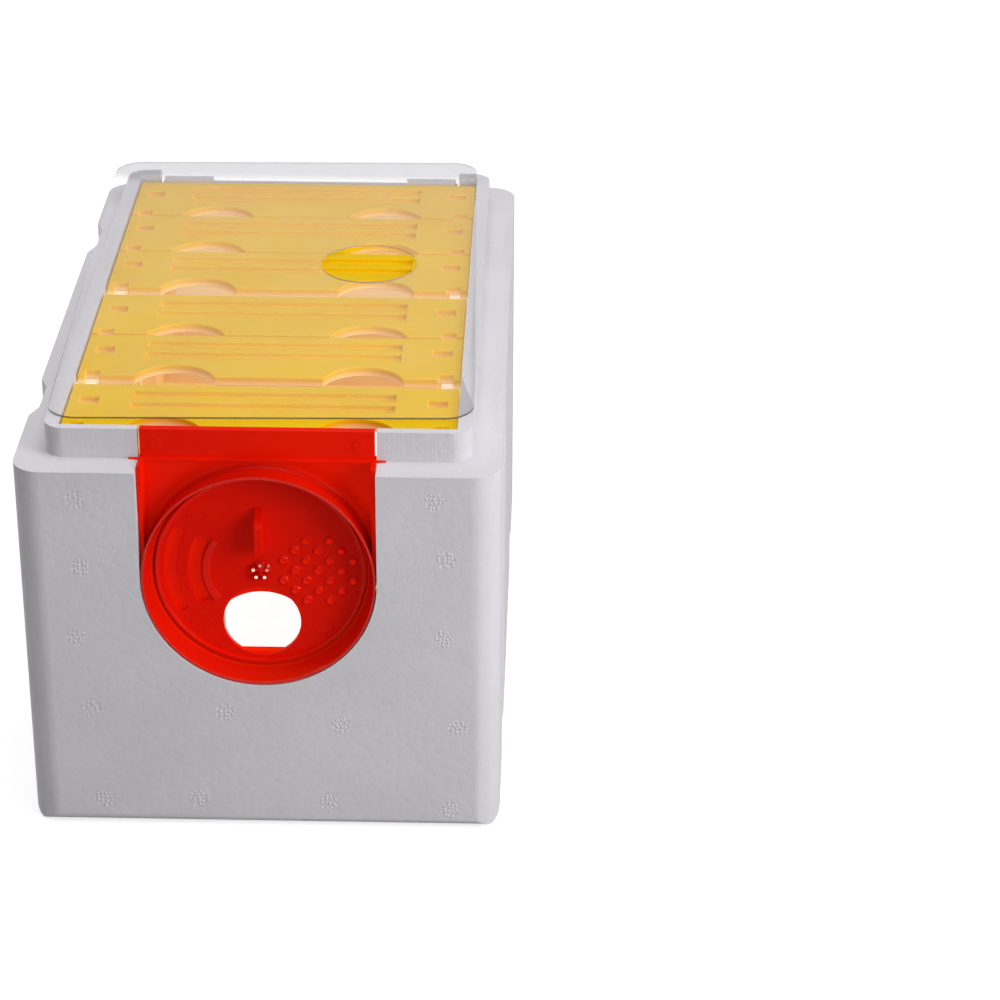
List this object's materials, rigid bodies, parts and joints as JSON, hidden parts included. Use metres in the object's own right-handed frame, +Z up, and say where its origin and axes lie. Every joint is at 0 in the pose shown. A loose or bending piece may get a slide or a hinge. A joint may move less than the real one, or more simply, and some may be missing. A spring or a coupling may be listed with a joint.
{
  "type": "nuc box",
  "caption": "Foam mating hive with a rotary entrance disc, lift-out frames under a clear cover, a rear plug above a porch and a sliding floor.",
  "frame": {"origin": "middle of the base, on the surface the box stands on", "axes": "+Z up, the entrance faces -Y, +X to the right seen from the entrance"},
  "size_m": [0.16, 0.256, 0.1458],
  "materials": {
    "foam": "moulded expanded foam, fine beads",
    "housing_red": "glossy injection-moulded",
    "disc_red": "glossy injection-moulded",
    "frame_yellow": "satin injection-moulded",
    "floor_yellow": "satin injection-moulded",
    "clear_sheet": "clear sheet"
  },
  "bodies": {
    "box": {"foam_body": "foam"},
    "entrance": {"entrance_housing": "housing_red"},
    "disc": {"entrance_disc": "disc_red"},
    "frame_1": {"top_bar_1": "frame_yellow", "lower_frame_1": "frame_yellow"},
    "frame_2": {"top_bar_2": "frame_yellow", "lower_frame_2": "frame_yellow"},
    "frame_3": {"top_bar_3": "frame_yellow", "lower_frame_3": "frame_yellow"},
    "frame_4": {"top_bar_4": "frame_yellow", "lower_frame_4": "frame_yellow"},
    "frame_5": {"top_bar_5": "frame_yellow", "lower_frame_5": "frame_yellow"},
    "frame_6": {"top_bar_6": "frame_yellow", "lower_frame_6": "frame_yellow"},
    "cover": {"clear_cover": "clear_sheet"},
    "plug": {"rear_plug": "foam"},
    "floor": {"sliding_floor": "floor_yellow"}
  },
  "joints": [
    {"name": "entrance_lift", "type": "slide", "parent": "box", "child": "entrance", "axis": [0, 0, 1], "range_m": [0, 0.1]},
    {"name": "disc_turn", "type": "hinge", "parent": "entrance", "child": "disc", "pos_m": [0, -0.11765, 0.0945], "axis": [0, 1, 0], "continuous": true},
    {"name": "floor_slide", "type": "slide", "parent": "box", "child": "floor", "axis": [0, 1, 0], "range_m": [0, 0.13]},
    {"name": "frame_1_lift", "type": "slide", "parent": "box", "child": "frame_1", "axis": [0, 0, 1], "range_m": [0, 0.12]},
    {"name": "frame_2_lift", "type": "slide", "parent": "box", "child": "frame_2", "axis": [0, 0, 1], "range_m": [0, 0.12]},
    {"name": "frame_3_lift", "type": "slide", "parent": "box", "child": "frame_3", "axis": [0, 0, 1], "range_m": [0, 0.12]},
    {"name": "frame_4_lift", "type": "slide", "parent": "box", "child": "frame_4", "axis": [0, 0, 1], "range_m": [0, 0.12]},
    {"name": "frame_5_lift", "type": "slide", "parent": "box", "child": "frame_5", "axis": [0, 0, 1], "range_m": [0, 0.12]},
    {"name": "frame_6_lift", "type": "slide", "parent": "box", "child": "frame_6", "axis": [0, 0, 1], "range_m": [0, 0.12]},
    {"name": "cover_lift", "type": "slide", "parent": "frame_1", "child": "cover", "axis": [0, 0, 1], "range_m": [0, 0.25]},
    {"name": "plug_lift", "type": "slide", "parent": "box", "child": "plug", "axis": [0, 0, 1], "range_m": [0, 0.1]}
  ],
  "couplings": [
    {"joint": "frame_2_lift", "follows": "frame_1_lift", "ratio": 1},
    {"joint": "frame_3_lift", "follows": "frame_1_lift", "ratio": 1},
    {"joint": "frame_4_lift", "follows": "frame_1_lift", "ratio": 1},
    {"joint": "frame_5_lift", "follows": "frame_1_lift", "ratio": 1},
    {"joint": "frame_6_lift", "follows": "frame_1_lift", "ratio": 1},
    {"joint": "plug_lift", "follows": "cover_lift", "ratio": 0.4}
  ]
}
